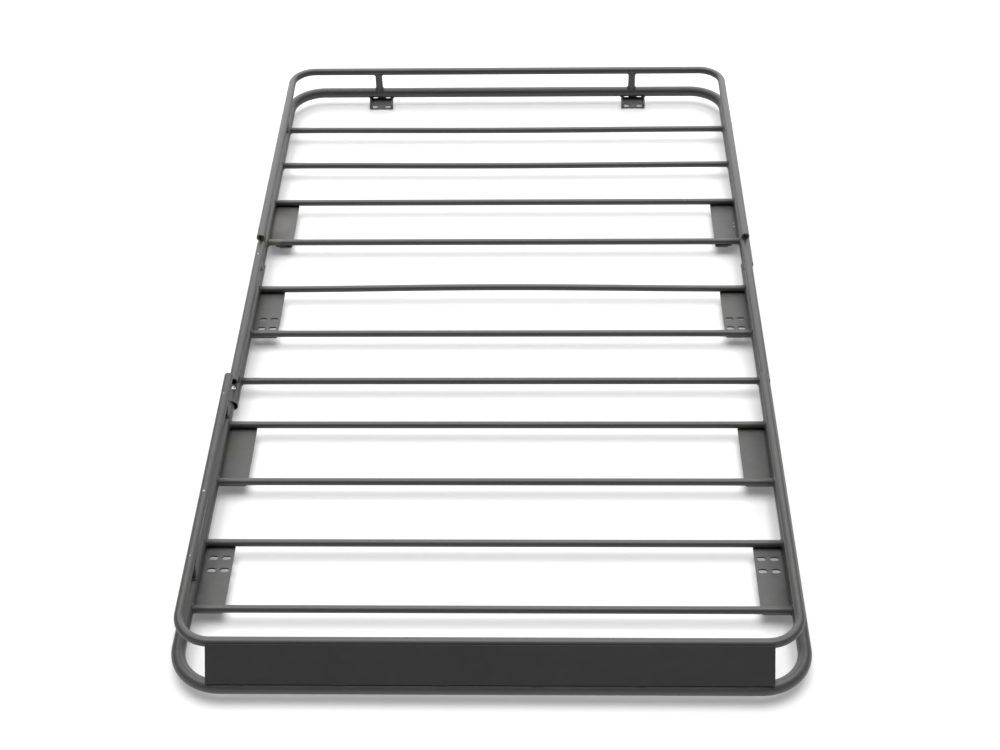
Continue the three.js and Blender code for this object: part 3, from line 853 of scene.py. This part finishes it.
def machined(name, colour, roughness, metallic, spread):
    """Bare or plated steel: fine grain and small dull blotches."""
    material, shade, shader = blank_material(name)
    place = shade.node("ShaderNodeTexCoord", out="Object")
    blotch = noise(shade, place, 160.0, 3.0)
    fine = noise(shade, place, 2200.0, 1.0)
    dull = tuple(0.72 * value for value in colour[:3]) + (1,)
    tone = mix(smooth_step(blotch, 0.4, 0.75) * spread, colour, dull)
    shade.tree.links.new(tone.socket, shader.inputs["Base Color"])
    gloss = roughness + 0.2 * (blotch - 0.5) + 0.08 * (fine - 0.5)
    shade.tree.links.new(gloss.socket, shader.inputs["Roughness"])
    shader.inputs["Metallic"].default_value = metallic
    bumped = shade.node(
        "ShaderNodeBump", None, {"Strength": 0.3, "Distance": 0.00005, "Height": fine}
    )
    shade.tree.links.new(bumped.socket, shader.inputs["Normal"])
    return material


zinc = machined("zinc_plate", (0.66, 0.67, 0.69, 1), 0.32, 1.0, 0.6)
turned_steel = machined("turned_steel", (0.40, 0.39, 0.38, 1), 0.38, 1.0, 0.8)

head = add(
    "screw_pattern",
    bpy.ops.mesh.primitive_cylinder_add,
    vertices=RING_SIDES,
    radius=HEAD_RADIUS,
    depth=HEAD_HIGH,
    location=(0, 0, HEAD_HIGH / 2),
)
bpy.ops.object.mode_set(mode="EDIT")
pick(head, "EDGE", lambda e: all(v.co.z > HEAD_HIGH * 0.9 for v in e.verts))
bpy.ops.mesh.bevel(offset=HEAD_ROUND, segments=7)
bpy.ops.object.mode_set(mode="OBJECT")
key_hole = add(
    "key_cutter",
    bpy.ops.mesh.primitive_cylinder_add,
    vertices=6,
    radius=KEY_RADIUS,
    depth=KEY_DEEP,
    location=(0, 0, HEAD_HIGH + 0.0001),
)
cut(head, key_hole)
shank = add(
    "shank",
    bpy.ops.mesh.primitive_circle_add,
    vertices=24,
    radius=SCREW_RADIUS,
    fill_type="NGON",
    location=(0, 0, SHANK_TOP),
)
bpy.ops.object.mode_set(mode="EDIT")
bpy.ops.mesh.select_all(action="SELECT")
for i in range(round(SHANK_LONG / THREAD_STEP)):
    bpy.ops.mesh.extrude_region_move(TRANSFORM_OT_translate={"value": (0, 0, -THREAD_STEP)})
    ratio = THREAD_ROOT if i % 2 == 0 else 1 / THREAD_ROOT
    z = SHANK_TOP - (i + 1) * THREAD_STEP
    bpy.ops.transform.resize(value=(ratio, ratio, 1), center_override=(0, 0, z))
bpy.ops.mesh.select_all(action="SELECT")
bpy.ops.mesh.normals_make_consistent(inside=False)
bpy.ops.object.mode_set(mode="OBJECT")
welded(head, [shank])
smooth(head, 28)
for end in ("front", "rear"):
    for side in ("left", "right"):
        holes = []
        for number in (1, 2):
            node = f"{end}_joint_screw_{number}_{side}"
            low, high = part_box(node)
            centre = (low + high) / 2
            screw = copied(head, node + "_button")
            placed(screw, Matrix.Translation((centre.x, centre.y, high.z - HEAD_HIGH)))
            settle(screw, node, zinc)
            holes.append((centre.x, centre.y))
        node = f"{end}_sleeve_{side}"
        low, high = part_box(node)
        centre = (low + high) / 2
        rod = add(
            node + "_rod",
            bpy.ops.mesh.primitive_cylinder_add,
            vertices=RING_SIDES,
            radius=SLEEVE_RADIUS,
            depth=high.y - low.y,
            location=centre,
            rotation=FACING_Y,
        )
        for x, y in holes:
            drill(rod, (x, y, centre.z + SLEEVE_RADIUS / 2))
            drill(rod, (x, y, centre.z - SLEEVE_RADIUS / 2))
        ease_edges(rod, SLEEVE_EASE)
        smooth(rod, 20)
        settle(rod, node, turned_steel)
bpy.data.objects.remove(head)

# ---------------------------------------------------------------- rail plugs
# Moulded plastic plugs pushed into the open front ends of the rear upper rail, a millimetre
# below the rim, each with a hole through the middle.
PLUG_HOLE_RADIUS = 0.0035
PLUG_EASE = 0.0009
black_plastic, shade, shader = blank_material("plug_plastic")
place = shade.node("ShaderNodeTexCoord", out="Object")
speckle = noise(shade, place, 900.0, 2.0)
tone = mix(smooth_step(speckle, 0.3, 0.8), (0.030, 0.030, 0.030, 1), (0.046, 0.046, 0.046, 1))
shade.tree.links.new(tone.socket, shader.inputs["Base Color"])
shade.tree.links.new((0.5 + 0.2 * (speckle - 0.5)).socket, shader.inputs["Roughness"])
bumped = shade.node(
    "ShaderNodeBump", None, {"Strength": 0.3, "Distance": 0.0001, "Height": speckle}
)
shade.tree.links.new(bumped.socket, shader.inputs["Normal"])
for side in ("left", "right"):
    node = f"upper_rail_plug_{side}"
    low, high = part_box(node)
    centre = (low + high) / 2
    round_size = {"vertices": RING_SIDES, "location": centre, "rotation": FACING_Y}
    long = high.y - low.y
    radius = (high.x - low.x) / 2
    cylinder = bpy.ops.mesh.primitive_cylinder_add
    plug = add(node + "_insert", cylinder, radius=radius, depth=long, **round_size)
    cut(plug, add("plug_cutter", cylinder, radius=PLUG_HOLE_RADIUS, depth=2 * long, **round_size))
    ease_edges(plug, PLUG_EASE)
    smooth(plug, 20)
    settle(plug, node, black_plastic)

# ---------------------------------------------------------------- floor, light and camera
# A plain white floor under the rack, faintly lit from within, a very wide soft light overhead,
# a bright wall behind the rear end, and a room that looks pale but gives little light.
FLOOR_WIDE = 60
FLOOR_DROP = 0.0005  # below the feet
FLOOR_WHITE = 0.72
FLOOR_GLOW = 0.15
ROOM_LIGHT = 0.08
ROOM_SEEN = 0.95
OVERHEAD_TURN = math.radians(-10)
OVERHEAD_POWER = 3.9
OVERHEAD_WIDE = math.radians(58)
WALL_PLACE = (0, 4.5, 2.0)
WALL_SIZE = (8.0, 4.0)
WALL_POWER = 300
CAMERA_PLACE = (0.1031, -3.2230, 2.7888)
CAMERA_TURN = (47.984, 0.961, 1.006)
CAMERA_LENS = 59.19
SENSOR = 36

floor_place = (0, 0, -FLOOR_DROP)
floor = add("floor", bpy.ops.mesh.primitive_plane_add, size=FLOOR_WIDE, location=floor_place)
white_floor, _, shader = blank_material("floor_white")
shader.inputs["Base Color"].default_value = (FLOOR_WHITE, FLOOR_WHITE, FLOOR_WHITE, 1)
shader.inputs["Roughness"].default_value = 0.9
shader.inputs["Emission Color"].default_value = (1, 1, 1, 1)
shader.inputs["Emission Strength"].default_value = FLOOR_GLOW
floor.data.materials.append(white_floor)

world = bpy.data.worlds.new("room")
bpy.context.scene.world = world
world.use_nodes = True
backdrop = world.node_tree.nodes["Background"]
backdrop.inputs["Color"].default_value = (1, 1, 1, 1)
seen = world.node_tree.nodes.new("ShaderNodeLightPath")
glow = world.node_tree.nodes.new("ShaderNodeMapRange")
glow.inputs["To Min"].default_value = ROOM_LIGHT
glow.inputs["To Max"].default_value = ROOM_SEEN
world.node_tree.links.new(seen.outputs["Is Camera Ray"], glow.inputs["Value"])
world.node_tree.links.new(glow.outputs["Result"], backdrop.inputs["Strength"])

bpy.ops.object.light_add(type="SUN", rotation=(OVERHEAD_TURN, 0, 0))
overhead = bpy.context.object
overhead.data.energy = OVERHEAD_POWER
overhead.data.angle = OVERHEAD_WIDE
bpy.ops.object.light_add(type="AREA", location=WALL_PLACE, rotation=(-math.pi / 2, 0, 0))
wall = bpy.context.object
wall.data.shape = "RECTANGLE"
wall.data.size, wall.data.size_y = WALL_SIZE
wall.data.energy = WALL_POWER
wall.visible_camera = False

turns = [math.radians(turn) for turn in CAMERA_TURN]
bpy.ops.object.camera_add(location=CAMERA_PLACE, rotation=turns)
camera = bpy.context.object
camera.data.sensor_width = SENSOR
camera.data.lens = CAMERA_LENS
bpy.context.scene.camera = camera
bpy.context.scene.view_settings.view_transform = "Standard"
